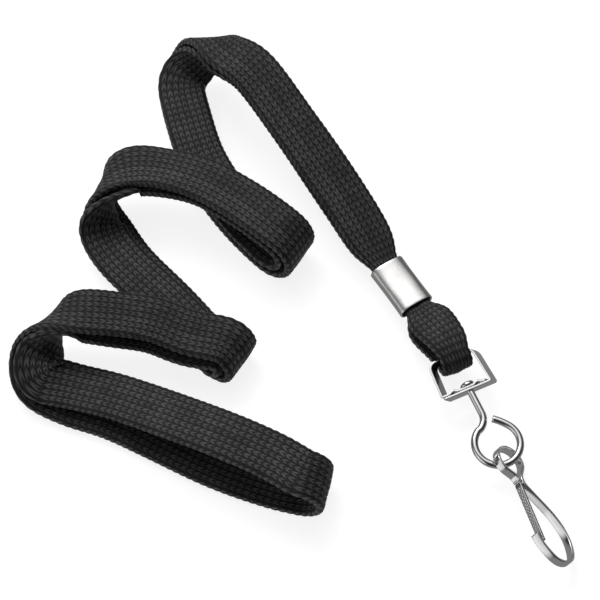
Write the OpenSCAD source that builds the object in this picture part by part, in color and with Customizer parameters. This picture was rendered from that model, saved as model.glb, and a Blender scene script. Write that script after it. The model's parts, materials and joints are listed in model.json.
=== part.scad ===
// Flat-braid neck lanyard laid in a loose zigzag, with a metal crimp and a swivel hook.
// Millimetres, +Z up, resting on z = 0. The two strands lie one on the other up to the neck fold.

/* [Strap] */
// full width of the flat braid
strap_w = 10; // [9:0.5:11]
// thickness of one strand of braid
strap_t = 2; // [1.6:0.1:2]
// width of the braid squeezed inside the crimp
squeezed_w = 5.4; // [5:0.1:5.4]
// thickness of each strand inside the crimp
squeezed_t = 1.2; // [1:0.1:1.2]

/* [Crimp] */
// outer width of the crimp across the strap
crimp_w = 7.4; // [7.2:0.1:8]
// outer thickness of the crimp
crimp_h = 3.7; // [3.6:0.1:4]
// length of the crimp along the strap
crimp_len = 11; // [9:0.5:12]
// sheet thickness of the crimp
crimp_wall = 0.4; // [0.3:0.05:0.4]

/* [Swivel frame] */
// width of the frame over its bottom corners
frame_w = 10.8; // [10.6:0.1:12]
// width of the strip the frame is bent from
frame_strip = 2.4; // [2:0.1:2.6]
// thickness of that strip
frame_t = 0.5; // [0.45:0.05:0.6]
// how far the front edge of the frame leans left of its back edge
frame_skew = 1.6; // [0:0.1:1.6]
// height from the hinge line in the strap loop to the middle of the bar
frame_drop = 7.6; // [7.4:0.1:8]

/* [Swivel eye] */
// diameter of the eye wire and of its post
wire_d = 1.36; // [1.3:0.02:1.4]
// mean radius of the round eye
eye_r = 4.45; // [4.2:0.05:4.5]
// diameter of the upset head on the post
head_d = 2.9; // [2.6:0.1:3]
// thickness of that head
head_h = 1; // [0.8:0.1:1.1]
// radial clearance of the post in the bar
post_gap = 0.05; // [0.03:0.01:0.08]

/* [Hook] */
// width of the hook strip
hook_strip = 1.7; // [1.6:0.1:2.2]
// thickness of the hook strip
hook_t = 0.65; // [0.6:0.05:0.7]
// mean radius of the loop around the eye
loop_r = 2.98; // [2.9:0.02:3]
// mean radius of the round bottom of the hook
bend_r = 3.3; // [3.2:0.02:3.4]
// width of the sprung gate leaf
gate_strip = 1.5; // [1.4:0.1:1.6]
// thickness of the gate leaf
gate_t = 0.55; // [0.45:0.05:0.55]

/* [Hidden] */
$fn = 48;
black = [0.16, 0.16, 0.17];
nickel = [0.78, 0.78, 0.8];

// Where the crimp and the hinge line of the frame lie, and how they are turned.
crimp_at = [20.3, 2.5, 5];
crimp_turn = 32.5;
hinge_at = [29.9, -13.7, 6.1];
chain_turn = 24.5;
chain_slope = 4;
squeezed_gap = 0.1;
// brings the middle of the whole layout over the origin
centring = [2.8, -1.5, 0];
stack = strap_t + 0.3;
crimp_stack = squeezed_t + squeezed_gap;

// A station of the braid: centre, direction across the strap, distance to the inner strand,
// sideways shift of the inner strand, width and thickness.
function across(az, el) = [cos(el) * cos(az), cos(el) * sin(az), sin(el)];
function lay(p, az, el = 0, sep = stack, shift = 0, w = strap_w, t = strap_t) =
    [p, across(az, el), sep, shift, w, t];

// A half turn of the strap about a level axis: it goes over (up = -1) or back up (up = 1),
// drifting sideways along the axis by the helix angle psi.
function roll(p, az, psi, r, up, side, seps, shifts, from = 0) =
    let (e = [cos(az), sin(az), 0], c = [-sin(az), cos(az), 0], k = [0, 0, up])
    [for (i = [from:4])
        let (f = i * 45, along = cos(f) * e + sin(f) * k)
        [p + r * sin(f) * e + r * (1 - cos(f)) * k + r * tan(psi) * f * PI / 180 * c,
            side * (cos(psi) * c - sin(psi) * along), seps[i], shifts[i], strap_w, strap_t]];

even = [for (i = [0:4]) stack];
none = [for (i = [0:4]) 0];

// A point in the crimp, d towards the hook, on the upper (1) or lower (-1) strand.
function in_crimp(d, s) =
    crimp_at + [d * sin(crimp_turn), -d * cos(crimp_turn), s * crimp_stack / 2];

// The outer strand from the crimp to the neck fold.
route = concat(
    [lay(in_crimp(-0.2, 1), crimp_turn, 0, crimp_stack, 0, squeezed_w, squeezed_t),
        lay(in_crimp(-3, 1), crimp_turn, 0, crimp_stack, 0, squeezed_w, squeezed_t),
        lay(in_crimp(-5.9, 1), crimp_turn, 0, crimp_stack, 0, squeezed_w, squeezed_t),
        lay([14.6, 12, 6.8], 33, 0, stack, 0, 9.2, 1.9),
        lay([9, 21.2, 9], 33),
        lay([-1, 36, 12.5], 33, 5),
        lay([-9.5, 48, 14.8], 32, 5)],
    roll([-15, 52.5, 14.5], 95, 28, 6, -1, -1, even, none),
    [lay([-23, 42, 1.9], 5),
        lay([-19.5, 32, 1.4], 22),
        lay([-12.5, 20.5, 1.4], 42)],
    roll([-4.5, 11.8, 1.4], -32, 3, 5.2, 1, 1, even, none),
    [lay([-11.5, 18.4, 12], 52),
        lay([-20, 23.6, 12], 65),
        lay([-28.8, 26.5, 11.5], 78, -8, 2.6, -0.4)],
    roll([-34.5, 27, 11], 159, 38, 4.6, -1, -1, [2.6, 3, 3, 3, 2.5], [-1, -1.5, -2, -2, -2]),
    [lay([-34.2, 10, 1.5], 35, 0, stack, -2),
        lay([-25.5, 0.5, 1.4], 50, 0, stack, -1.5)],
    roll([-14.8, -12, 1.4], -32, 3, 3.8, 1, 1, even, [-1, -1, -1, -1, -1]),
    [lay([-21.5, -10.2, 9.5], 68, 0, 3, -1),
        lay([-28.5, -7.8, 10.5], 75, 0, 3, -1),
        lay([-36, -7, 11.5], 85, -5, 3, -1)],
    roll([-43, -6.8, 12.2], 134, 45, 4.2, -1, -1, [3, 2.8, 2.8, 2.8, 2.8], [-0.5, 0, 0, 0.5, 1]),
    [lay([-50.8, -18.8, 2.4], 28, 0, 2.8, 1.5),
        lay([-44.5, -21.8, 1.4], 58, 0, 3, 2.5),
        lay([-35.1, -25.1, 1.3], 66, 0, 4.5, 2.5),
        lay([-17.9, -34, 1.3], 66, 0, 8.5, 3),
        lay([-6, -38.7, 1.3], 66, 0, 9, 2),
        lay([0.4, -40.4, 1.3], 68, 0, 9, 0)]);

// Smooth samples between stations.
steps = 3;
function spline(a, b, c, d, t) =
    0.5 * (2 * b + (c - a) * t + (2 * a - 5 * b + 4 * c - d) * t * t
        + (3 * b - a - 3 * c + d) * t * t * t);
function blend(q, i, t) =
    [for (k = [0:5])
        spline(q[max(i - 1, 0)][k], q[i][k], q[min(i + 1, len(q) - 1)][k],
            q[min(i + 2, len(q) - 1)][k], t)];
function sampled(q) =
    concat([for (i = [0:len(q) - 2], j = [0:steps - 1]) blend(q, i, j / steps)],
        [blend(q, len(q) - 1, 0)]);
function unit(v) = v / norm(v);
function heading(s, i) = unit(s[min(i + 1, len(s) - 1)][0] - s[max(i - 1, 0)][0]);
// Frames: centre, across, outward normal, separation, shift, width, thickness.
function frames(s) =
    [for (i = [0:len(s) - 1])
        let (t = heading(s, i), w = unit(s[i][1] - (s[i][1] * t) * t))
        [s[i][0], w, cross(w, t), s[i][2], s[i][3], s[i][4], s[i][5]]];
function inner_of(f) = [for (a = f) [a[0] - a[2] * a[3] + a[1] * a[4], a[1], a[2], 0, 0, a[5], a[6]]];

// Flat section with rounded edges, eight corners.
function section(w, t) =
    let (a = w / 2, b = t / 2, e = 0.35 * t)
    [[a, e / 2], [a - e, b], [e - a, b], [-a, e / 2], [-a, -e / 2], [e - a, -b], [a - e, -b], [a, -e / 2]];
module braid(f) {
    rings = len(f);
    pts = [for (a = f, c = section(a[5], a[6])) centring + a[0] + a[1] * c[0] + a[2] * c[1]];
    walls = [for (i = [0:rings - 2], k = [0:7])
        let (m = (k + 1) % 8)
        each [[8 * i + k, 8 * i + m, 8 * i + 8 + k], [8 * i + m, 8 * i + 8 + m, 8 * i + 8 + k]]];
    near = [[for (k = [7:-1:0]) k]];
    far = [[for (k = [0:7]) 8 * (rings - 1) + k]];
    polyhedron(points = pts, faces = concat(near, walls, far));
}

outer_frames = frames(sampled(route));
inner_frames = inner_of(outer_frames);
last = len(outer_frames) - 1;

// The neck fold: half a turn from the end of the outer strand up to the end of the inner one.
fold_end = outer_frames[last];
fold_r = fold_end[3] / 2;
fold_way = cross(fold_end[2], fold_end[1]);
fold_frames = [for (f = [0:15:180])
    [fold_end[0] - fold_end[2] * fold_r + fold_r * (fold_end[2] * cos(f) + fold_way * sin(f)),
        fold_end[1], fold_end[2] * cos(f) + fold_way * sin(f), 0, 0, strap_w, strap_t]];

// Points in the frame of the hook chain, hinge line at its origin, +y back towards the crimp.
function tilt(v) = [v[0], v[1] * cos(chain_slope) - v[2] * sin(chain_slope),
    v[1] * sin(chain_slope) + v[2] * cos(chain_slope)];
function turn(v) = [v[0] * cos(chain_turn) - v[1] * sin(chain_turn),
    v[0] * sin(chain_turn) + v[1] * cos(chain_turn), v[2]];
function chained(v) = hinge_at + turn(tilt(v));
module chain() {
    translate(centring + hinge_at) rotate([chain_slope, 0, chain_turn]) children();
}

// The short strap loop below the crimp: front layer, fold around the frame, back layer.
loop_half = 2.5;
loop_w = 6.6;
function loop_lay(p, az, w = loop_w, t = strap_t) = [p, across(az, 0), 0, 0, w, t];
function flank(s) =
    [loop_lay(in_crimp(0.2, s), crimp_turn, squeezed_w, squeezed_t),
        loop_lay(in_crimp(3, s), crimp_turn, squeezed_w, squeezed_t),
        loop_lay(in_crimp(5.9, s), crimp_turn, squeezed_w, squeezed_t),
        loop_lay([25.6, -6, 5.5 + s * 1.8], 30, 9.2, strap_t),
        loop_lay(chained([0, 3.2, s * loop_half]), 27, 8.2)];
function reversed(v) = [for (i = [len(v) - 1:-1:0]) v[i]];
loop_route = concat(flank(1),
    [for (f = [0:30:180]) loop_lay(chained([0, -loop_half * sin(f), loop_half * cos(f)]), chain_turn)],
    reversed(flank(-1)));
loop_frames = frames(sampled(loop_route));

module strap_outer() {
    color(black) braid(outer_frames);
}

module strap_inner() {
    color(black) braid(inner_frames);
}

module neck_fold() {
    color(black) braid(fold_frames);
}

module clip_loop() {
    color(black) braid(loop_frames);
}

// Round-ended flat tube pressed over the strands.
module flat_bar(w, h, l) {
    for (s = [-1, 1])
        translate([s * (w - h) / 2, 0, 0]) rotate([90, 0, 0]) cylinder(d = h, h = l, center = true);
    cube([w - h, l, h], center = true);
}

module crimp() {
    color(nickel)
    translate(centring + crimp_at) rotate([0, 0, crimp_turn])
        difference() {
            flat_bar(crimp_w, crimp_h, crimp_len);
            flat_bar(crimp_w - 2 * crimp_wall, crimp_h - 2 * crimp_wall, crimp_len + 1);
        }
}

// D-shaped frame: round shoulders at the hinge line, straight arms, a two-layer bar.
shoulder_r = 2;
shoulder_x = 3;
bar_t = 2 * frame_t;
bar_low = -frame_drop - bar_t / 2;
function arc(c, r, a, b, n = 8) =
    [for (i = [0:n]) c + r * [cos(a + (b - a) * i / n), sin(a + (b - a) * i / n)]];
shoulder_y = frame_t / 2 - shoulder_r;
function d_shape(inset, low) =
    concat(arc([shoulder_x, shoulder_y], shoulder_r - inset, 0, 90),
        arc([-shoulder_x, shoulder_y], shoulder_r - inset, 90, 180),
        [[inset - frame_w / 2, low], [frame_w / 2 - inset, low]]);

// The bent strip: outer and inner outline, front and back edge, closed on itself.
module d_strip() {
    outside = d_shape(0, bar_low);
    inside = d_shape(frame_t, bar_low + bar_t);
    n = len(outside);
    pts = [for (i = [0:n - 1], q = [[outside, 1], [outside, -1], [inside, -1], [inside, 1]])
        [q[0][i][0] - q[1] * frame_skew / 2, q[0][i][1], q[1] * frame_strip / 2]];
    walls = [for (i = [0:n - 1], k = [0:3])
        let (j = (i + 1) % n, m = (k + 1) % 4)
        [4 * i + k, 4 * j + k, 4 * j + m, 4 * i + m]];
    polyhedron(points = pts, faces = walls);
}

module swivel_frame() {
    seam = 0.08;
    color(nickel)
    chain() difference() {
        d_strip();
        // the seam between the two lapped ends of the strip
        translate([1.6, -frame_drop, frame_strip / 2]) cube([5, seam, 0.3], center = true);
        translate([-1.6, -frame_drop, frame_strip / 2]) cube([5, seam, 0.3], center = true);
        // the hole the post turns in
        translate([0, -frame_drop, 0]) rotate([90, 0, 0])
            cylinder(r = wire_d / 2 + post_gap, h = 2 * bar_t, center = true);
    }
}

// The point beside q[i], d to the right of the line of points q.
function beside(q, i, d) =
    let (v = q[min(i + 1, len(q) - 1)] - q[max(i - 1, 0)])
    q[i] + d * [v[1], -v[0]] / norm(v);

// Round wire along a line of points in the xy plane.
wire_sides = 16;
module wire(q) {
    m = wire_sides;
    n = len(q);
    pts = [for (i = [0:n - 1], k = [0:m - 1])
        let (a = 360 * k / m, b = beside(q, i, wire_d / 2 * cos(a)))
        [b[0], b[1], wire_d / 2 * sin(a)]];
    walls = [for (i = [0:n - 2], k = [0:m - 1])
        let (j = (k + 1) % m)
        each [[m * i + k, m * i + j, m * i + m + k], [m * i + j, m * i + m + j, m * i + m + k]]];
    near = [[for (k = [m - 1:-1:0]) k]];
    far = [[for (k = [0:m - 1]) m * (n - 1) + k]];
    polyhedron(points = pts, faces = concat(near, walls, far));
}

// Headed post through the bar, a short shank and an open round eye below it.
eye_c = [0, -frame_drop - 12.3];
shank_end = -frame_drop - 5.4;
join_r = 3.3;
join_a = atan2(shank_end - eye_c[1], -join_r);
flare_r = 12;
flare_a = 35;
flare_c = eye_c - (flare_r - eye_r) * [cos(flare_a), sin(flare_a)];
head_y = bar_low + bar_t + post_gap;
wire_line = concat([[0, head_y + head_h / 2]],
    arc([-join_r, shank_end], join_r, 0, join_a - 180, 7),
    arc(eye_c, eye_r, join_a + 6, 360 + flare_a, 40),
    arc(flare_c, flare_r, flare_a + 5, 51, 3));
module swivel_eye() {
    color(nickel)
    chain() union() {
        translate([0, head_y, 0]) rotate([-90, 0, 0]) cylinder(d = head_d, h = head_h);
        wire(wire_line);
    }
}

// The hook in its own frame: loop centre at the origin, bend at -y, strip width along z.
hook_roll = 40;
hook_at = chained([0.25, -frame_drop - 16.6, 0]) + [0, 0, 0.08];
flank_a = 27;
waist_r = 2.5;
waist_c = [2.77, -4.97];
body_r = 15;
body_c = [-10.33, -17.81];
body_low = 13;
bend_x = 0.4;
bend_a = 30;
tip_x = -3.88;
stub_r = 2;
stub_c = [-2.66, -4.36];
lead = 45;
module placed() {
    translate(centring + hook_at) rotate([0, 0, chain_turn]) rotate([0, hook_roll, 0]) children();
}
// A strip of thickness t and width w along a line of points.
module strip(q, w, t) {
    right = [for (i = [0:len(q) - 1]) beside(q, i, t / 2)];
    left = [for (i = [len(q) - 1:-1:0]) beside(q, i, -t / 2)];
    translate([0, 0, -w / 2]) linear_extrude(w) polygon(concat(right, left));
}

// Wider arcs join the round bottom to the flank (side) and to the tip.
side_r = (body_c[0] + body_r * cos(body_low) - bend_r * cos(bend_a) - bend_x)
    / (cos(body_low) - cos(bend_a));
side_c = body_c + (body_r - side_r) * [cos(body_low), sin(body_low)];
bend_c = side_c + (side_r - bend_r) * [cos(bend_a), -sin(bend_a)];
tip_r = (bend_x - tip_x - bend_r * cos(bend_a)) / (1 - cos(bend_a));
tip_c = bend_c + (tip_r - bend_r) * [cos(bend_a), sin(bend_a)];

upper_line = concat(arc(stub_c, stub_r, -9, lead, 6),
    arc([0, 0], loop_r, 180 + lead, -lead, 44),
    arc(waist_c, waist_r, 180 - lead, 180 + flank_a, 10),
    arc(body_c, body_r, flank_a - 2, body_low, 7),
    arc(side_c, side_r, body_low - 4, 4 - bend_a, 10));
bend_line = arc(bend_c, bend_r, -bend_a, bend_a - 180, 30);
tip_line = arc(tip_c, tip_r, bend_a - 184, -179, 7);
hook_line = concat(upper_line, bend_line, tip_line);

// The strip's inner face is thicker along the bend, where a round bore trims it to size.
bore_stock = 0.05;
module hook_body() {
    n = len(hook_line);
    first = len(upper_line);
    past = first + len(bend_line);
    inner = [for (i = [0:n - 1])
        let (more = i >= first && i < past ? bore_stock : 0)
        beside(hook_line, i, hook_t / 2 + more)];
    outer = [for (i = [n - 1:-1:0]) beside(hook_line, i, -hook_t / 2)];
    color(nickel)
    placed() difference() {
        translate([0, 0, -hook_strip / 2]) linear_extrude(hook_strip) polygon(concat(inner, outer));
        translate([bend_c[0], bend_c[1], -hook_strip])
            cylinder(r = bend_r - hook_t / 2, h = 2 * hook_strip, $fn = 96);
    }
}

// The knurled leaf that closes the hook: it springs inwards at its root by the waist.
gate_root = [-0.75, -5.05];
gate_end = [-2.78, -17.8];
module gate_leaf() {
    a = atan2(gate_end[1] - gate_root[1], gate_end[0] - gate_root[0]);
    rib = 0.12;
    pitch = 0.6;
    color(nickel)
    placed() union() {
        strip([gate_root, gate_end], gate_strip, gate_t);
        // ribs of the thumb grip, on the outer face
        translate([gate_root[0], gate_root[1], 0]) rotate([0, 0, a])
            for (i = [1:18])
                translate([i * pitch, -gate_t / 2, 0]) rotate([0, 0, 45])
                    cube([rib * 1.5, rib * 1.5, gate_strip - 0.2], center = true);
    }
}

strap_outer();
strap_inner();
neck_fold();
clip_loop();
crimp();
swivel_frame();
swivel_eye();
hook_body();
gate_leaf();
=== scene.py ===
"""Flat-braid neck lanyard with a crimp and a swivel hook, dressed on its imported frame."""
import bpy
import json
import math
import numpy as np
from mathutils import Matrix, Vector

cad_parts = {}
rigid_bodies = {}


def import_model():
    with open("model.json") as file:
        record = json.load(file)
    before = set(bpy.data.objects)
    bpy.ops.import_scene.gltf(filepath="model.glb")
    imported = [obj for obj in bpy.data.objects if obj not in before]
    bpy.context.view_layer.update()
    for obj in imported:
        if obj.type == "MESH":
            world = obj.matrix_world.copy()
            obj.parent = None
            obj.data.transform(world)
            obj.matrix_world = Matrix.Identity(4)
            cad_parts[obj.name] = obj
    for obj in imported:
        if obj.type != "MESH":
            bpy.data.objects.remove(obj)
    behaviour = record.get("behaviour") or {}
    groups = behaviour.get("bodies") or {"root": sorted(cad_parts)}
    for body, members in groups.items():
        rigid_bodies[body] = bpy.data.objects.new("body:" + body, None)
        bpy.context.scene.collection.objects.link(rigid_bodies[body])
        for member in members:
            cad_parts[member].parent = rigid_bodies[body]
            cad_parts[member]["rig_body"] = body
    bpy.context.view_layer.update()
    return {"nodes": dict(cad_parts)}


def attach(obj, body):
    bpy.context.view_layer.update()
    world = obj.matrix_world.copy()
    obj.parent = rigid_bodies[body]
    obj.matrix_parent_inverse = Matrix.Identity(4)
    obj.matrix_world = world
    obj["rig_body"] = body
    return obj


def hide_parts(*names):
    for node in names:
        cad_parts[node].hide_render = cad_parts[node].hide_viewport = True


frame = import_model()
MM = 0.001
scene = bpy.context.scene

# ---------------------------------------------------------------- camera
TARGET = Vector((0.0028, -0.0015, 0.004))
ELEVATION = math.radians(62)
DISTANCE = 0.45


def place_camera():
    data = bpy.data.cameras.new("camera")
    data.lens = 135
    data.sensor_width = 36
    data.clip_start = 0.01
    cam = bpy.data.objects.new("camera", data)
    scene.collection.objects.link(cam)
    away = Vector((0, -math.cos(ELEVATION), math.sin(ELEVATION)))
    cam.location = TARGET + away * DISTANCE
    cam.rotation_euler = away.to_track_quat("Z", "Y").to_euler()
    scene.camera = cam


place_camera()


# ---------------------------------------------------------------- vectors, lines and rings
def cosd(a):
    return math.cos(math.radians(a))


def sind(a):
    return math.sin(math.radians(a))


def rot_x(a):
    return np.array([[1, 0, 0], [0, cosd(a), -sind(a)], [0, sind(a), cosd(a)]])


def rot_y(a):
    return np.array([[cosd(a), 0, sind(a)], [0, 1, 0], [-sind(a), 0, cosd(a)]])


def rot_z(a):
    return np.array([[cosd(a), -sind(a), 0], [sind(a), cosd(a), 0], [0, 0, 1]])


def unit(v):
    return v / np.maximum(np.linalg.norm(v, axis=-1, keepdims=True), 1e-12)


def headings(c):
    return unit(np.gradient(c, axis=0))


def run(c):
    """The length of line c up to each of its points."""
    steps = np.linalg.norm(np.diff(c, axis=0), axis=1)
    return np.concatenate([[0], np.cumsum(steps)])


def around(ring):
    """The length round a closed ring up to each of its points and back to the first."""
    return run(np.concatenate([ring, ring[:1]]))


def smoothed(a, sigma):
    """Each column of a smoothed along its rows, its two ends held in place."""
    r = int(3 * sigma) + 1
    weights = np.exp(-0.5 * (np.arange(-r, r + 1) / sigma) ** 2)
    weights /= weights.sum()
    before = 2 * a[:1] - a[r:0:-1]
    after = 2 * a[-1:] - a[-2:-r - 2:-1]
    padded = np.concatenate([before, a, after])
    return np.stack([np.convolve(column, weights, mode="valid") for column in padded.T], axis=1)


def catmull(q, fine):
    """Dense samples of the stations along a Catmull-Rom curve."""
    q = np.array(q, float)
    pad = np.concatenate([q[:1], q, q[-1:]])
    t = np.linspace(0, 1, fine, endpoint=False)[:, None]
    parts = []
    for i in range(len(q) - 1):
        a, b, c, d = pad[i:i + 4]
        bend = (2 * a - 5 * b + 4 * c - d) * t ** 2 + (3 * b - a - 3 * c + d) * t ** 3
        parts.append(0.5 * (2 * b + (c - a) * t + bend))
    return np.concatenate([*parts, q[-1:]])


def evenly(a, step):
    """Rows of a resampled at equal steps of arc length over its first three columns."""
    s = run(a[:, :3])
    count = max(8, int(round(s[-1] / step)))
    at = np.linspace(0, s[-1], count + 1)
    return np.stack([np.interp(at, s, column) for column in a.T], axis=1)


def straight(p, q, n):
    return [[p[0] + (q[0] - p[0]) * i / n, p[1] + (q[1] - p[1]) * i / n] for i in range(n + 1)]


def arc(c, r, a, b, n):
    return [[c[0] + r * cosd(q), c[1] + r * sind(q)] for q in np.linspace(a, b, n + 1)]


def round_rect(w, t, r, n=4):
    """Corners of radius r on a w by t rectangle, as one closed ring."""
    ring = []
    for cx, cy, start in ((1, 1, 0), (-1, 1, 90), (-1, -1, 180), (1, -1, 270)):
        ring += arc([cx * (w / 2 - r), cy * (t / 2 - r)], r, start, start + 90, n)
    return np.array(ring)


def superellipse(w, h, square, n=72):
    """A ring w by h: higher values of square bring it closer to a rectangle."""
    ring = []
    for i in range(n):
        x, z = cosd(360 * i / n), sind(360 * i / n)
        ring.append([math.copysign(w / 2 * abs(x) ** (2 / square), x),
                     math.copysign(h / 2 * abs(z) ** (2 / square), z)])
    return np.array(ring)


# ---------------------------------------------------------------- meshes
def build(name, verts, faces, uvs=None, material=None, smooth=True):
    me = bpy.data.meshes.new(name)
    me.from_pydata(verts.tolist(), [], faces)
    if uvs is not None:
        layer = me.uv_layers.new(name="UVMap")
        layer.data.foreach_set("uv", np.asarray(uvs, np.float32).ravel())
    me.validate()
    if smooth:
        me.polygons.foreach_set("use_smooth", [True] * len(me.polygons))
    me.update()
    ob = bpy.data.objects.new(name, me)
    scene.collection.objects.link(ob)
    if material is not None:
        me.materials.append(material)
    return ob


def sweep(name, c, side, normal, prof, u, v, material, closed=False):
    """A tube of N rings of K points: prof (N, K, 2) is set out on side and normal at centres c.

    u holds K + 1 values round a ring and v holds N values along the tube. A closed tube joins its
    last ring to its first, an open one is capped.
    """
    n, k = prof.shape[:2]
    verts = c[:, None] + side[:, None] * prof[..., :1] + normal[:, None] * prof[..., 1:]
    i, j = np.meshgrid(np.arange(n if closed else n - 1), np.arange(k), indexing="ij")
    i2, j2 = (i + 1) % n, (j + 1) % k
    quads = np.stack([i * k + j, i * k + j2, i2 * k + j2, i2 * k + j], axis=-1)
    v_next = np.append(v[1:], v[-1] + v[1] - v[0])
    corners = ((j, v), (j + 1, v), (j + 1, v_next), (j, v_next))
    uv = np.stack([np.stack([u[col], along[i]], -1) for col, along in corners], axis=2)
    faces = quads.reshape(-1, 4).tolist()
    uvs = uv.reshape(-1, 2).tolist()
    if not closed:
        for ring, order in ((0, range(k - 1, -1, -1)), (n - 1, range(k))):
            faces.append([ring * k + q for q in order])
            uvs += [[u[q], v[ring]] for q in order]
    return build(name, verts.reshape(-1, 3), faces, uvs, material)


def finish_piece(ob, body, nodes):
    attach(ob, body)
    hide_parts(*nodes)


# ---------------------------------------------------------------- node trees and materials
def grey(level):
    return (level, level, level)


class Nodes:
    """Short-hand for building a node tree."""

    def __init__(self, tree):
        self.tree = tree

    def add(self, kind, **props):
        node = self.tree.nodes.new(kind)
        for key, value in props.items():
            setattr(node, key, value)
        return node

    def put(self, socket, value):
        if isinstance(value, bpy.types.NodeSocket):
            self.tree.links.new(value, socket)
        else:
            socket.default_value = value

    def math(self, op, *values):
        node = self.add("ShaderNodeMath", operation=op)
        for socket, value in zip(node.inputs, values):
            self.put(socket, value)
        return node.outputs[0]

    def plus(self, a, b):
        return self.math("ADD", a, b)

    def minus(self, a, b):
        return self.math("SUBTRACT", a, b)

    def times(self, a, b):
        return self.math("MULTIPLY", a, b)

    def humps(self, phase):
        """One hump from 0 to 1 and back for each whole step of phase."""
        return self.math("ABSOLUTE", self.math("SINE", self.times(phase, math.pi)))

    def noise(self, vector, scale, detail, rough=0.55):
        node = self.add("ShaderNodeTexNoise")
        self.put(node.inputs["Vector"], vector)
        node.inputs["Scale"].default_value = scale
        node.inputs["Detail"].default_value = detail
        node.inputs["Roughness"].default_value = rough
        return node.outputs["Fac"]

    def ramp(self, fac, stops):
        node = self.add("ShaderNodeValToRGB")
        self.put(node.inputs[0], fac)
        els = node.color_ramp.elements
        while len(els) < len(stops):
            els.new(0.5)
        for el, (at, col) in zip(els, stops):
            el.position = at
            el.color = (*col, 1)
        return node.outputs[0]

    def span(self, value, lo, hi):
        node = self.add("ShaderNodeMapRange")
        self.put(node.inputs["Value"], value)
        node.inputs["To Min"].default_value = lo
        node.inputs["To Max"].default_value = hi
        return node.outputs["Result"]

    def combine(self, x, y, z=0.0):
        node = self.add("ShaderNodeCombineXYZ")
        for socket, value in zip(node.inputs, (x, y, z)):
            self.put(socket, value)
        return node.outputs[0]

    def split(self, vector):
        node = self.add("ShaderNodeSeparateXYZ")
        self.put(node.inputs[0], vector)
        return node.outputs[0], node.outputs[1], node.outputs[2]

    def bump(self, height, strength, distance, normal=None):
        node = self.add("ShaderNodeBump")
        self.put(node.inputs["Height"], height)
        node.inputs["Strength"].default_value = strength
        node.inputs["Distance"].default_value = distance
        if normal is not None:
            self.put(node.inputs["Normal"], normal)
        return node.outputs[0]

    def uv(self):
        return self.split(self.add("ShaderNodeUVMap", uv_map="UVMap").outputs[0])[:2]

    def position(self):
        return self.add("ShaderNodeTexCoord").outputs["Object"]


class Material(Nodes):
    """The node tree of a new material, with its Principled shader."""

    def __init__(self, name):
        self.mat = bpy.data.materials.new(name)
        self.mat.use_nodes = True
        super().__init__(self.mat.node_tree)
        self.bsdf = self.tree.nodes["Principled BSDF"]

    def surface(self, **inputs):
        """Set or link shader inputs, named with underscores for spaces."""
        for name, value in inputs.items():
            self.put(self.bsdf.inputs[name.replace("_", " ")], value)


SLANT = 0.4
RIDGE_POWER = 0.6


def braid_material():
    """Charcoal yarns in columns of chevrons: u counts half columns, v counts stitches."""
    n = Material("charcoal_braid")
    u, v = n.uv()
    lobe = n.math("FLOOR", u)
    across = n.minus(n.times(n.math("FRACT", u), 2.0), 1.0)
    way = n.minus(1.0, n.times(n.math("MODULO", lobe, 2.0), 2.0))
    phase = n.plus(v, n.times(n.times(way, across), SLANT))
    ridge = n.math("POWER", n.humps(phase), RIDGE_POWER)
    column = n.times(u, 0.5)
    gap = n.math("POWER", n.humps(n.math("FRACT", column)), 0.5)
    crown = n.math("POWER", n.minus(1.0, n.times(across, across)), 0.25)
    yarn = n.times(ridge, n.times(crown, gap))

    # the colour is painted darker where the yarn is low, as painted shade in the hollows between yarns and
    # columns; fibres run across the yarn; tone also differs by stitch, by column and in wide patches
    fibre = n.noise(n.combine(n.times(u, 1.1), n.times(phase, 9.0), lobe), 1.6, 4.0, 0.6)
    fuzz = n.noise(n.position(), 2600.0, 3.0, 0.6)
    patch = n.noise(n.position(), 160.0, 2.0, 0.5)
    cell = n.noise(n.combine(lobe, n.math("FLOOR", phase)), 3.7, 0.0)
    row = n.noise(n.combine(n.times(n.math("FLOOR", column), 1.7), 0.0), 1.3, 0.0)
    # painted shade: the yarn height darkens the colour in the hollows, on top of the random tone
    tone = n.plus(n.times(yarn, 0.55), n.times(fibre, 0.3))
    for part, weight in ((cell, 0.25), (patch, 0.2), (row, 0.22)):
        tone = n.plus(tone, n.times(n.minus(part, 0.5), weight))

    low = n.bump(yarn, 0.75, 0.00016)
    mid = n.bump(fibre, 0.5, 0.00005, low)
    # the low end of the ramp is near black, so the hollows between yarns carry painted shade
    n.surface(Base_Color=n.ramp(tone, [(0.0, grey(0.003)), (0.4, (0.02, 0.02, 0.0202)),
                                       (0.62, (0.1, 0.1, 0.101)), (0.95, (0.21, 0.21, 0.212))]),
              Roughness=n.span(fibre, 0.48, 0.7), Specular_IOR_Level=0.3, Sheen_Weight=0.03,
              Sheen_Roughness=0.5, Normal=n.bump(fuzz, 0.35, 0.00003, mid))
    return n.mat


def metal_material(name, colour, rough, streak, grain=1.0):
    """Plated metal: v runs along the strip or wire, u around it."""
    n = Material(name)
    u, v = n.uv()
    lines = n.noise(n.combine(n.times(u, streak), n.times(v, 0.6)), 5.0, 4.0, 0.6)
    blotch = n.noise(n.position(), 420.0, 3.0, 0.5)
    pits = n.noise(n.position(), 3800.0, 2.0, 0.5)
    dark = tuple(c * 0.8 for c in colour)
    tone = n.plus(n.times(lines, 0.6), n.times(blotch, 0.4))
    low = n.bump(lines, 0.12 * grain, 0.00004)
    n.surface(Base_Color=n.ramp(tone, [(0.3, dark), (0.62, colour)]), Metallic=1.0,
              Roughness=n.span(tone, rough * 1.5, rough * 0.7),
              Normal=n.bump(pits, 0.06 * grain, 0.00002, low))
    return n.mat


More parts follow.
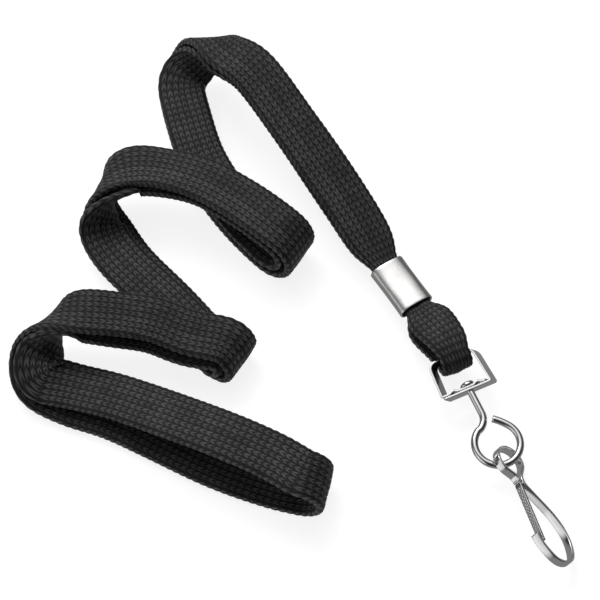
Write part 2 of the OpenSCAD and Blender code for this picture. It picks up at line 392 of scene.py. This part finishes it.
def floor_material():
    n = Material("pale_floor")
    soft = n.noise(n.position(), 30.0, 2.0)
    n.surface(Base_Color=n.ramp(soft, [(0.3, grey(0.42)), (0.7, grey(0.44))]),
              Emission_Color=(1, 1, 1, 1), Emission_Strength=0.84, Roughness=0.9,
              Specular_IOR_Level=0.1)
    return n.mat


BRAID = braid_material()
PLATED = metal_material("bright_plating", (0.8, 0.795, 0.8), 0.12, 6.0)
SATIN = metal_material("satin_plating", (0.74, 0.73, 0.72), 0.26, 14.0, 2.0)
SPRING = metal_material("spring_strip", (0.52, 0.51, 0.5), 0.22, 9.0, 1.5)

# ---------------------------------------------------------------- the strap's route, in millimetres
CENTRING = np.array([2.8, -1.5, 0.0])
STRAP_W, STRAP_T = 10.0, 2.0
SQUEEZED = (5.4, 1.2)
STACK = 2.3
CRIMP_AT = np.array([20.3, 2.5, 5.0])
CRIMP_TURN = 32.5
CRIMP_STACK = 1.3
HINGE_AT = np.array([29.9, -13.7, 6.1])
CHAIN_TURN, CHAIN_SLOPE = 24.5, 4.0
CHAIN_TURNED = rot_z(CHAIN_TURN) @ rot_x(CHAIN_SLOPE)


def lay(p, az, el=0.0, sep=STACK, shift=0.0, w=STRAP_W, t=STRAP_T):
    """A station: centre, direction across, gap to the inner strand, its shift, width, thickness."""
    return [*p, cosd(el) * cosd(az), cosd(el) * sind(az), sind(el), sep, shift, w, t]


def roll(p, az, psi, r, up, side, seps, shifts):
    """A half turn of the strap about a level axis, drifting along it by the helix angle psi."""
    e = np.array([cosd(az), sind(az), 0])
    c = np.array([-sind(az), cosd(az), 0])
    k = np.array([0, 0, up])
    drift = r * math.tan(math.radians(psi))
    out = []
    for i, (sep, shift) in enumerate(zip(seps, shifts)):
        f = i * 45
        q = np.array(p) + r * sind(f) * e + r * (1 - cosd(f)) * k + drift * math.radians(f) * c
        along = cosd(f) * e + sind(f) * k
        a = side * (cosd(psi) * c - sind(psi) * along)
        out.append([*q, *a, sep, shift, STRAP_W, STRAP_T])
    return out


def in_crimp(d, s):
    """A point in the crimp, d towards the hook from its middle, on the side s of the stack."""
    return CRIMP_AT + [d * sind(CRIMP_TURN), -d * cosd(CRIMP_TURN), s * CRIMP_STACK / 2]


def chained(v):
    """A point of the hardware's own space, whose origin is the middle of the strap's end loop."""
    return HINGE_AT + CHAIN_TURNED @ v


EVEN, NONE = [STACK] * 5, [0] * 5
ROUTE = [
    *[lay(in_crimp(d, 1), CRIMP_TURN, 0, CRIMP_STACK, 0, *SQUEEZED) for d in (-0.2, -3, -5.9)],
    lay([14.6, 12, 6.8], 33, 0, STACK, 0, 9.2, 1.9),
    lay([9, 21.2, 9], 33),
    lay([-1, 36, 12.5], 33, 5),
    lay([-9.5, 48, 14.8], 32, 5),
    *roll([-15, 52.5, 14.5], 95, 28, 6, -1, -1, EVEN, NONE),
    lay([-23, 42, 1.9], 5),
    lay([-19.5, 32, 1.4], 22),
    lay([-12.5, 20.5, 1.4], 42),
    *roll([-4.5, 11.8, 1.4], -32, 3, 5.2, 1, 1, EVEN, NONE),
    lay([-11.5, 18.4, 12], 52),
    lay([-20, 23.6, 12], 65),
    lay([-28.8, 26.5, 11.5], 78, -8, 2.6, -0.4),
    *roll([-34.5, 27, 11], 159, 38, 4.6, -1, -1, [2.6, 3, 3, 3, 2.5], [-1, -1.5, -2, -2, -2]),
    lay([-34.2, 10, 1.5], 35, 0, STACK, -2),
    lay([-25.5, 0.5, 1.4], 50, 0, STACK, -1.5),
    *roll([-14.8, -12, 1.4], -32, 3, 3.8, 1, 1, EVEN, [-1] * 5),
    lay([-21.5, -10.2, 9.5], 68, 0, 3, -1),
    lay([-28.5, -7.8, 10.5], 75, 0, 3, -1),
    lay([-36, -7, 11.5], 85, -5, 3, -1),
    *roll([-43, -6.8, 12.2], 134, 45, 4.2, -1, -1, [3, 2.8, 2.8, 2.8, 2.8], [-0.5, 0, 0, 0.5, 1]),
    lay([-50.8, -18.8, 2.4], 28, 0, 2.8, 1.5),
    lay([-44.5, -21.8, 1.4], 58, 0, 3, 2.5),
    lay([-35.1, -25.1, 1.3], 66, 0, 4.5, 2.5),
    lay([-17.9, -34, 1.3], 66, 0, 8.5, 3),
    lay([-6, -38.7, 1.3], 66, 0, 9, 2),
    lay([0.4, -40.4, 1.3], 68, 0, 9, 0),
]

# ---------------------------------------------------------------- the braid
STEP = 0.24
PITCH = 1.42
LOBES = 32
POINTS_PER_LOBE = 3
EDGE_LOBES = 2
FACE_LOBES = LOBES // 2 - EDGE_LOBES
EDGE_DEPTH = 0.75
FACE_CROWN = 0.1
RELIEF = 0.2
RELIEF_SHARE = 0.11
FURROWS = (-0.5, 0.4)
WAVINESS = 0.035


def framed(c, across):
    """Unit vectors across the strap and out of its face along line c."""
    t = headings(c)
    w = unit(across - np.sum(across * t, axis=1, keepdims=True) * t)
    return w, np.cross(w, t)


def flat_section(a, b, idx):
    """The smooth section at lobes idx, for half widths a and half thicknesses b, and its normals."""
    e = EDGE_DEPTH * b
    x, z, nx, nz = (np.zeros((len(a), len(idx))) for _ in range(4))
    for q, p in enumerate(idx):
        up = 1 if p < LOBES / 2 else -1
        p = p % (LOBES / 2)
        if p < FACE_LOBES:
            f = 1 - 2 * p / FACE_LOBES
            x[:, q] = up * (a - e) * f
            z[:, q] = up * b * (1 - FACE_CROWN * f ** 2)
            nz[:, q] = up
        else:
            f = math.pi * (0.5 * up + (p - FACE_LOBES) / EDGE_LOBES)
            x[:, q] = e * math.cos(f) - up * (a - e)
            z[:, q] = (1 - FACE_CROWN) * b * math.sin(f)
            nx[:, q], nz[:, q] = math.cos(f), math.sin(f)
    return x, z, nx, nz


def unevenness(s, idx, seed):
    """Four slow waves, differing from strand to strand."""
    rng = np.random.default_rng(seed)
    total = 0
    for _ in range(4):
        size = rng.uniform(0.3, 1)
        length = rng.uniform(3, 9)
        skew = rng.uniform(0.2, 0.9)
        start = rng.uniform(0, 6)
        total = total + size * np.sin(s[:, None] / length + idx * skew + start)
    return total


def strand_profile(width, thick, s, seed):
    """Cross-sections of the braid with its plaited relief, one per row of width and thick."""
    idx = np.arange(LOBES * POINTS_PER_LOBE) / POINTS_PER_LOBE
    x, z, nx, nz = flat_section(width / 2, thick / 2, idx)
    lobe = np.floor(idx + 1e-6)
    frac = 2 * (idx - lobe) - 1
    way = 1 - 2 * (lobe % 2)
    ridge = np.abs(np.sin(np.pi * (s[:, None] / PITCH + SLANT * way * frac))) ** RIDGE_POWER
    furrow = np.where(np.abs(frac) > 0.99, np.where(lobe % 2 == 0, *FURROWS), 1.0)
    depth = np.minimum(RELIEF, RELIEF_SHARE * thick[:, None])
    push = depth * (ridge * furrow - 1) + WAVINESS * (unevenness(s, idx, seed) - 1)
    return np.stack([x + nx * push, z + nz * push], axis=-1)


def strand(name, c, across, width, thick, seed):
    w, n = framed(c, across)
    s = run(c)
    prof = strand_profile(width, thick, s, seed)
    u = np.arange(prof.shape[1] + 1) / POINTS_PER_LOBE
    ob = sweep(name, (c + CENTRING) * MM, w, n, prof * MM, u, s / PITCH, BRAID)
    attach(ob, "strap")
    return ob


dense = evenly(catmull(ROUTE, 24), STEP)
outer_c = smoothed(dense[:, :3], 5)
outer_w, outer_n = framed(outer_c, smoothed(dense[:, 3:6], 8))
sep, shift, widths, thicks = smoothed(dense[:, 6:10], 6).T
inner_c = outer_c - outer_n * sep[:, None] + outer_w * shift[:, None]

# the neck fold joins the strands' far ends with half a turn, and each strand takes half of it
fold_r = sep[-1] / 2
way_on = np.cross(outer_n[-1], outer_w[-1])
turn_a = np.radians(np.arange(0, 181, 3))[:, None]
fold_side = outer_n[-1] * np.cos(turn_a) + way_on * np.sin(turn_a)
fold_c = outer_c[-1] - outer_n[-1] * fold_r + fold_r * fold_side
half = len(fold_c) // 2
first = np.concatenate([outer_c, fold_c[1:half + 1]])
second = np.concatenate([inner_c, fold_c[-2:half - 1:-1]])


def strap_piece(name, c, seed, nodes):
    """One strand from the crimp to the middle of the neck fold, with the cord that it stands for."""
    tail = len(c) - len(outer_c)
    across = np.concatenate([outer_w, np.repeat(outer_w[-1:], tail, axis=0)])
    width = np.append(widths, np.full(tail, STRAP_W))
    thick = np.append(thicks, np.full(tail, STRAP_T))
    row = evenly(np.column_stack([c, across, width, thick]), STEP)
    centre = smoothed(row[:, :3], 3)
    ob = strand(name, centre, smoothed(row[:, 3:6], 6), row[:, 6], row[:, 7], seed)
    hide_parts(*nodes)


strap_piece("braid_outer_strand", first, 3, ["strap_outer", "neck_fold"])
strap_piece("braid_inner_strand", second, 8, ["strap_inner"])

# ---------------------------------------------------------------- the strap's end loop, below the crimp
LOOP_HALF, LOOP_W = 2.5, 6.6


def plain(p, az, w, t=STRAP_T):
    """A station of a single strand."""
    return lay(p, az, 0, 0, 0, w, t)


def flank(s):
    """The loop's upper (s = 1) or lower (s = -1) side, from inside the crimp to near the frame."""
    return [*[plain(in_crimp(d, s), CRIMP_TURN, *SQUEEZED) for d in (0.2, 3, 5.9)],
            plain([25.6, -6, 5.5 + s * 1.8], 30, 9.2),
            plain(chained([0, 3.2, s * LOOP_HALF]), 27, 8.2)]


def loop_piece():
    turn = [plain(chained([0, -LOOP_HALF * sind(f), LOOP_HALF * cosd(f)]), CHAIN_TURN, LOOP_W)
            for f in range(0, 181, 30)]
    row = evenly(catmull(flank(1) + turn + flank(-1)[::-1], 16), STEP)
    ob = strand("braid_clip_loop", smoothed(row[:, :3], 3), smoothed(row[:, 3:6], 4),
                row[:, 8], row[:, 9], 21)
    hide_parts("clip_loop")


loop_piece()

# ---------------------------------------------------------------- the crimp: a flat tube with rounded lips
CRIMP_W, CRIMP_H, CRIMP_LEN, CRIMP_WALL = 7.4, 3.7, 11.0, 0.4
CRIMP_LIP = 0.15
CRIMP_FLARE, CRIMP_WAIST = 0.06, 0.05
SQUARE_OUTSIDE, SQUARE_INSIDE = 2.5, 5.0


def crimp_piece():
    """Outer skin, one lip, inner skin and the other lip of the crimp, as one closed surface."""
    outside = []
    for i in range(25):
        along = i / 24 - 0.5
        swell = CRIMP_FLARE * abs(2 * along) ** 4 - CRIMP_WAIST * math.exp(-((i - 12) / 5) ** 2)
        outside.append((along * (CRIMP_LEN - 2 * CRIMP_LIP), swell))
    inside = [(y, -CRIMP_WALL) for y, _ in outside[::-1]]
    lip = [(CRIMP_LEN / 2 - CRIMP_LIP + CRIMP_LIP * sind(f), CRIMP_FLARE - CRIMP_WALL / 2 * (1 - cosd(f)))
           for f in range(30, 180, 30)]
    far_lip = [(-y, grow) for y, grow in lip[::-1]]
    rows = outside + lip + inside + far_lip
    prof = []
    for _, grow in rows:
        inward = min(1, max(0, -grow / CRIMP_WALL))
        square = SQUARE_OUTSIDE + (SQUARE_INSIDE - SQUARE_OUTSIDE) * inward
        prof.append(superellipse(CRIMP_W + 2 * grow, CRIMP_H + 2 * grow, square))
    prof = np.array(prof)
    c = np.array([[0, y, 0] for y, _ in rows])
    turned = rot_z(CRIMP_TURN)
    side = np.tile(turned @ [1, 0, 0], (len(rows), 1))
    up = np.tile([0, 0, 1.0], (len(rows), 1))
    ob = sweep("crimp_sheet", (c @ turned.T + CRIMP_AT + CENTRING) * MM, side, up, prof * MM,
               around(prof[0]), run(c), SATIN, closed=True)
    finish_piece(ob, "strap", ["crimp"])


crimp_piece()

# ---------------------------------------------------------------- bars and turned parts of the hardware
CHAIN = (CHAIN_TURNED, HINGE_AT + CENTRING)


def metal(name, place, line, prof, material, body, nodes, lean=0.0):
    """A bar of section prof, (K, 2) or one per point, along a flat line in a placed xy plane."""
    turned, origin = place
    line = np.column_stack([line, np.zeros(len(line))])
    side = np.tile([-lean, 0.0, 1.0], (len(line), 1))
    normal = unit(np.cross(headings(line), [0, 0, 1.0]))
    if prof.ndim == 2:
        prof = np.repeat(prof[None], len(line), axis=0)
    ob = sweep(name, (line @ turned.T + origin) * MM, side @ turned.T, normal @ turned.T, prof * MM,
               around(prof[0]), run(line), material)
    finish_piece(ob, body, nodes)


def turned_piece(name, place, y, rings, material, body, nodes):
    """A turned part about the placed y axis: rings are radius and height above y."""
    n = 48
    turned, origin = place
    verts = [[r * cosd(360 * i / n), y + h, r * sind(360 * i / n)] for r, h in rings for i in range(n)]
    faces, uvs = [], []
    for i in range(len(rings) - 1):
        for k in range(n):
            m = (k + 1) % n
            faces.append([i * n + k, (i + 1) * n + k, (i + 1) * n + m, i * n + m])
            uvs += [[k, i], [k, i + 1], [k + 1, i + 1], [k + 1, i]]
    last = (len(rings) - 1) * n
    for end in (range(n), range(last + n - 1, last - 1, -1)):
        faces.append(list(end))
        uvs += [[0, 0]] * n
    ob = build(name, (np.array(verts) @ turned.T + origin) * MM, faces, uvs, material)
    finish_piece(ob, body, nodes)


# ---------------------------------------------------------------- swivel frame: one strip, its ends lapped
FRAME_W, FRAME_STRIP, FRAME_T, FRAME_DROP, FRAME_SKEW = 10.8, 2.4, 0.5, 7.6, 1.6
FRAME_EDGE = 0.12
SHOULDER_R, SHOULDER_X = 2.0, 3.0
FOOT_R = 0.3
PINCH_AT, PINCH_W, PINCH_H = 2.6, 0.62, 0.42


def pinched(p):
    """The lapped strip stands up a little on both sides of the post."""
    x, y = p
    return [x, y + PINCH_H * math.exp(-((abs(x) - PINCH_AT) / PINCH_W) ** 2)]


def frame_piece():
    half_t = FRAME_T / 2
    corner_x = FRAME_W / 2 - half_t
    foot_x = corner_x - FOOT_R
    near_bar, far_bar = -FRAME_DROP + half_t, -FRAME_DROP - half_t
    top_y, arm_r = half_t - SHOULDER_R, SHOULDER_R - half_t
    line = ([pinched(p) for p in straight([corner_x - 0.9, near_bar], [-foot_x, near_bar], 80)]
            + arc([-foot_x, near_bar + FOOT_R], FOOT_R, 270, 185, 6)
            + arc([-SHOULDER_X, top_y], arm_r, 178, 90, 12)
            + arc([SHOULDER_X, top_y], arm_r, 90, 2, 12)
            + arc([foot_x, far_bar + FOOT_R], FOOT_R, -5, -90, 6)
            + straight([foot_x - 0.3, far_bar], [-corner_x + 0.2, far_bar], 24))
    metal("frame_strip", CHAIN, line, round_rect(FRAME_STRIP, FRAME_T, FRAME_EDGE), PLATED, "frame",
          ["swivel_frame"], lean=FRAME_SKEW / FRAME_STRIP)


frame_piece()

# ---------------------------------------------------------------- swivel eye: head, shank, open eye
WIRE_D, EYE_R, HEAD_D, HEAD_H = 1.44, 4.45, 2.9, 1.0
EYE_C = [0, -FRAME_DROP - 12.3]
SHANK_END = -FRAME_DROP - 5.4
NECK_R = 3.3
FLARE_R, FLARE_FROM, FLARE_TO = 12.0, 35.0, 51
HEAD_Y = -FRAME_DROP + FRAME_T + 0.05


def eye_piece():
    join_a = math.degrees(math.atan2(SHANK_END - EYE_C[1], -NECK_R))
    flare_off = FLARE_R - EYE_R
    flare_c = [EYE_C[0] - flare_off * cosd(FLARE_FROM), EYE_C[1] - flare_off * sind(FLARE_FROM)]
    line = (straight([0, HEAD_Y + 0.3], [0, SHANK_END + 0.2], 12)
            + arc([-NECK_R, SHANK_END], NECK_R, 0, join_a - 180, 14)
            + arc(EYE_C, EYE_R, join_a + 3, 360 + FLARE_FROM, 84)
            + arc(flare_c, FLARE_R, FLARE_FROM + 2, FLARE_TO, 8))
    section = np.array(arc([0, 0], WIRE_D / 2, 0, 360, 28)[:-1])
    metal("eye_wire", CHAIN, line, section, PLATED, "eye", ["swivel_eye"])
    r = HEAD_D / 2
    rings = [(0.7, 0.0), (r - 0.15, 0.0), (r - 0.04, 0.08), (r, 0.2), (r - 0.02, 0.55),
             (r - 0.2, 0.78), (r - 0.6, 0.93), (0.3, HEAD_H)]
    turned_piece("post_head", CHAIN, HEAD_Y, rings, PLATED, "eye", ["swivel_eye"])


eye_piece()

# ---------------------------------------------------------------- hook: round the eye, down, round the bend
HOOK_ROLL = 40.0
HOOK_AT = chained([0.25, -FRAME_DROP - 16.6, 0]) + CENTRING + [0, 0, 0.08]
HOOK = (rot_z(CHAIN_TURN) @ rot_y(HOOK_ROLL), HOOK_AT)
HOOK_STRIP, HOOK_T, HOOK_EDGE = 1.7, 0.65, 0.17
LOOP_R, BEND_R = 2.98, 3.3
FLANK_A, BODY_C, BODY_R, BODY_LOW = 27, [-10.33, -17.81], 15.0, 13
BEND_X, BEND_A, TIP_X = 0.4, 30, -3.88


def hook_piece():
    """Each arc of the bend is tangent to the one before it."""
    side_r = ((BODY_C[0] + BODY_R * cosd(BODY_LOW) - BEND_R * cosd(BEND_A) - BEND_X)
              / (cosd(BODY_LOW) - cosd(BEND_A)))
    side_c = [BODY_C[0] + (BODY_R - side_r) * cosd(BODY_LOW),
              BODY_C[1] + (BODY_R - side_r) * sind(BODY_LOW)]
    bend_c = [side_c[0] + (side_r - BEND_R) * cosd(BEND_A),
              side_c[1] - (side_r - BEND_R) * sind(BEND_A)]
    tip_r = (BEND_X - TIP_X - BEND_R * cosd(BEND_A)) / (1 - cosd(BEND_A))
    tip_c = [bend_c[0] + (tip_r - BEND_R) * cosd(BEND_A),
             bend_c[1] + (tip_r - BEND_R) * sind(BEND_A)]
    line = (arc([-2.66, -4.36], 2.0, -9, 45, 10)
            + arc([0, 0], LOOP_R, 224, -44, 90)
            + arc([2.77, -4.97], 2.5, 135, 180 + FLANK_A, 20)
            + arc(BODY_C, BODY_R, FLANK_A - 1, BODY_LOW + 0.5, 20)
            + arc(side_c, side_r, BODY_LOW - 0.5, 1 - BEND_A, 32)
            + arc(bend_c, BEND_R, -BEND_A, BEND_A - 180, 50)
            + arc(tip_c, tip_r, BEND_A - 181, -179, 24))
    metal("hook_strip", HOOK, line, round_rect(HOOK_STRIP, HOOK_T, HOOK_EDGE), PLATED, "hook",
          ["hook_body"])


hook_piece()

# ---------------------------------------------------------------- gate leaf: its outer face is knurled
GATE_ROOT, GATE_END, GATE_STRIP, GATE_T = [-0.75, -5.05], [-2.78, -17.8], 1.5, 0.55
GATE_EDGE, GATE_FACE_EDGE = 0.12, 0.14
KNURL_FROM, KNURL_TO, KNURL_FADE = 0.6, 11.6, 0.4
KNURL_HALF_W, KNURL_SIDE_FADE = 0.62, 0.1
KNURL_PITCH, KNURL_SLANT, KNURL_DEPTH, KNURL_SINK = 0.78, 1.1, 0.2, 0.08


def ramped(value):
    return min(1, max(0, value))


def knurl(x, y):
    """Height of the knurled diamonds at x across and y along the leaf."""
    ends = ramped((y - KNURL_FROM) / KNURL_FADE) * ramped((KNURL_TO - y) / KNURL_FADE)
    band = ramped((KNURL_HALF_W - abs(x)) / KNURL_SIDE_FADE)
    a, b = (y + x * KNURL_SLANT) / KNURL_PITCH, (y - x * KNURL_SLANT) / KNURL_PITCH
    diamond = abs(math.sin(math.pi * a)) * abs(math.sin(math.pi * b))
    return ends * band * (KNURL_DEPTH * diamond ** 0.7 - KNURL_SINK)


def gate_piece():
    rows, cols = 190, 30
    base = round_rect(GATE_STRIP, GATE_T, GATE_EDGE, 3)
    upper = base[:, 1] >= 0
    right = base[:, 0] > 0
    edge = GATE_STRIP / 2 - GATE_FACE_EDGE
    face_x = np.linspace(edge, -edge, cols)
    length = math.dist(GATE_ROOT, GATE_END)
    prof = []
    for y in np.linspace(0, length, rows + 1):
        face = [[x, GATE_T / 2 + knurl(x, y)] for x in face_x]
        prof.append(np.concatenate([base[~upper], base[upper & right], face, base[upper & ~right]]))
    prof = np.array(prof)
    from_middle = prof[0] - prof[0].mean(0)
    order = np.argsort(np.arctan2(from_middle[:, 1], from_middle[:, 0]))
    metal("gate_strip", HOOK, straight(GATE_ROOT, GATE_END, rows), prof[:, order], SPRING, "gate",
          ["gate_leaf"])


gate_piece()

# ---------------------------------------------------------------- the solids' own materials
for node in frame["nodes"].values():
    me = node.data
    me.materials.clear()
    slot_mat = {"crimp": SATIN, "gate_leaf": SPRING}.get(node.name)
    me.materials.append(slot_mat or (BRAID if node.get("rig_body") == "strap" else PLATED))
    if not me.uv_layers:
        me.uv_layers.new(name="UVMap")

# ---------------------------------------------------------------- floor and light
FLOOR_HALF = 1.5


def lay_floor():
    corners = np.array([[-1, -1, 0], [1, -1, 0], [1, 1, 0], [-1, 1, 0]]) * FLOOR_HALF
    floor = build("floor", corners, [[0, 1, 2, 3]], None, floor_material(), False)
    floor.visible_glossy = False


def light_world():
    """One huge soft source high in the north, a pale horizon, a panel in the west, a dark south."""
    world = bpy.data.worlds.new("studio")
    world.use_nodes = True
    sky = Nodes(world.node_tree)
    view = sky.split(sky.add("ShaderNodeTexCoord").outputs["Generated"])

    def towards(direction):
        x, y, z = (sky.times(part, share) for part, share in zip(view, direction))
        return sky.plus(x, sky.plus(y, z))

    def levels(fac, stops):
        return sky.ramp(fac, [(at, grey(level)) for at, level in stops])

    dome = levels(towards((-0.15, 0.55, 0.82)), [(0.0, 0.02), (0.66, 0.03), (0.82, 0.3), (0.97, 0.9)])
    horizon = levels(view[2], [(0.04, 0.15), (0.16, 0.0)])
    panel = levels(towards((-0.85, -0.45, 0.25)), [(0.83, 0.0), (0.93, 0.55)])
    back = world.node_tree.nodes["Background"]
    sky.put(back.inputs["Color"], sky.plus(sky.plus(dome, horizon), panel))
    back.inputs["Strength"].default_value = 1.5
    scene.world = world


def softbox(name, at, size, watts):
    """A rectangular lamp at a place, aimed at the origin."""
    data = bpy.data.lights.new(name, "AREA")
    data.shape = "RECTANGLE"
    data.size, data.size_y = size
    data.energy = watts
    ob = bpy.data.objects.new(name, data)
    ob.location = at
    ob.rotation_euler = Vector(at).to_track_quat("Z", "Y").to_euler()
    scene.collection.objects.link(ob)


lay_floor()
light_world()
softbox("key", (-0.25, 0.55, 0.75), (0.5, 0.25), 2.0)
scene.view_settings.view_transform = "Standard"
scene.view_settings.look = "None"
